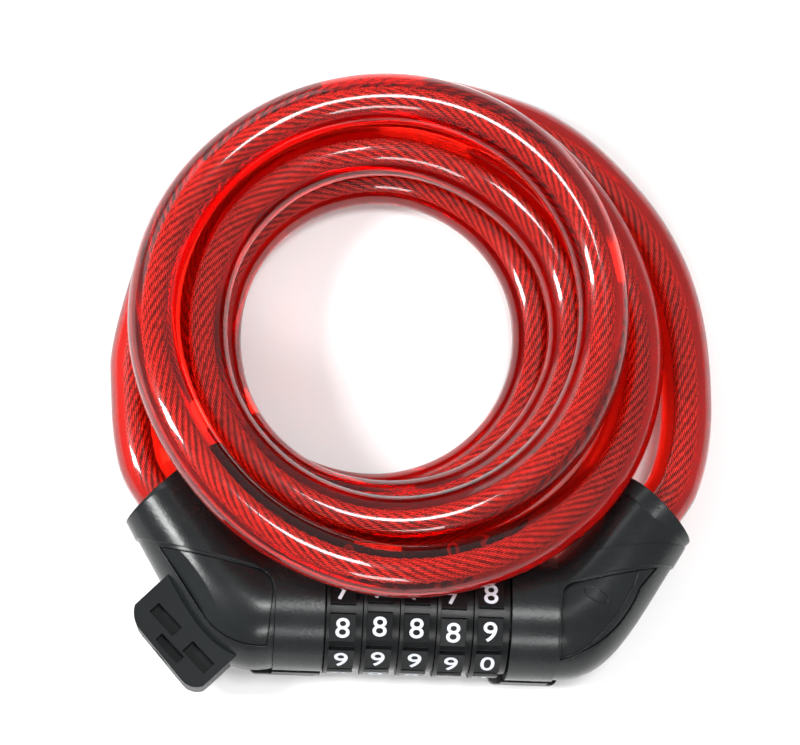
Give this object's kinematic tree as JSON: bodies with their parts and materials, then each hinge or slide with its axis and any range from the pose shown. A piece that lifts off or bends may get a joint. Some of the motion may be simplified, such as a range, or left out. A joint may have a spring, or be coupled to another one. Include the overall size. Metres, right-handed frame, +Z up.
{
  "type": "cable lock",
  "caption": "Combination cable lock for a bicycle: a dial barrel between two elbow housings, with a red-jacketed steel cable coiled flat and a pull-out plug end.",
  "frame": {"origin": "on the surface that the lock lies on, under the middle of the lock head's box, cable left out", "axes": "+X along the barrel towards the lock end, +Y from the barrel towards the middle of the coil, +Z up"},
  "size_m": [0.1421, 0.1477, 0.0442],
  "materials": {
    "housing": "moulded black plastic with a low sheen",
    "panel": "smoother black plastic inset",
    "dial": "moulded black plastic",
    "numbers": "white filled numbers",
    "brass": "turned brass",
    "cast_zinc": "die-cast zinc alloy",
    "steel": "bright steel",
    "jacket": "clear red soft plastic over the rope"
  },
  "bodies": {
    "lock_end": {"barrel_core": "cast_zinc", "lock_shell_top": "housing", "lock_shell_bottom": "housing", "lock_panel": "panel", "lock_collar": "housing", "lock_gland": "housing", "lock_ferrule": "steel", "lock_ferrule_pin": "steel", "lock_screws": "steel", "core_end_cap": "steel", "spacer_washers": "steel", "detent_balls": "steel", "detent_springs": "steel", "cable_coil": "jacket", "cable_lock_end": "jacket"},
    "plug_end": {"plug_shell_top": "housing", "plug_shell_bottom": "housing", "plug_panel": "panel", "plug_collar": "housing", "plug_gland": "housing", "plug_ferrule": "steel", "plug_ferrule_pin": "steel", "plug_screws": "steel", "bracket_foot": "housing", "bracket_foot_screw": "steel", "pin_holder": "cast_zinc", "locking_pin": "steel", "holder_pin": "steel", "cable_plug_end": "jacket"},
    "dial_1": {"dial_1": "dial", "code_ring_1": "brass"},
    "dial_2": {"dial_2": "dial", "code_ring_2": "brass"},
    "dial_3": {"dial_3": "dial", "code_ring_3": "brass"},
    "dial_4": {"dial_4": "dial", "code_ring_4": "brass"},
    "dial_5": {"dial_5": "dial", "code_ring_5": "brass"}
  },
  "joints": [
    {"name": "dial_1_turn", "type": "hinge", "parent": "lock_end", "child": "dial_1", "pos_m": [-0.0148, -0.0073, 0.0145], "axis": [1, 0, 0], "continuous": true},
    {"name": "dial_2_turn", "type": "hinge", "parent": "lock_end", "child": "dial_2", "pos_m": [-0.0065, -0.0073, 0.0145], "axis": [1, 0, 0], "continuous": true},
    {"name": "dial_3_turn", "type": "hinge", "parent": "lock_end", "child": "dial_3", "pos_m": [0.0018, -0.0073, 0.0145], "axis": [1, 0, 0], "continuous": true},
    {"name": "dial_4_turn", "type": "hinge", "parent": "lock_end", "child": "dial_4", "pos_m": [0.0101, -0.0073, 0.0145], "axis": [1, 0, 0], "continuous": true},
    {"name": "dial_5_turn", "type": "hinge", "parent": "lock_end", "child": "dial_5", "pos_m": [0.0184, -0.0073, 0.0145], "axis": [1, 0, 0], "continuous": true},
    {"name": "plug_slide", "type": "slide", "parent": "lock_end", "child": "plug_end", "axis": [-1, 0, 0], "range_m": [0, 0.045], "deforming": ["cable_plug_end"]}
  ]
}
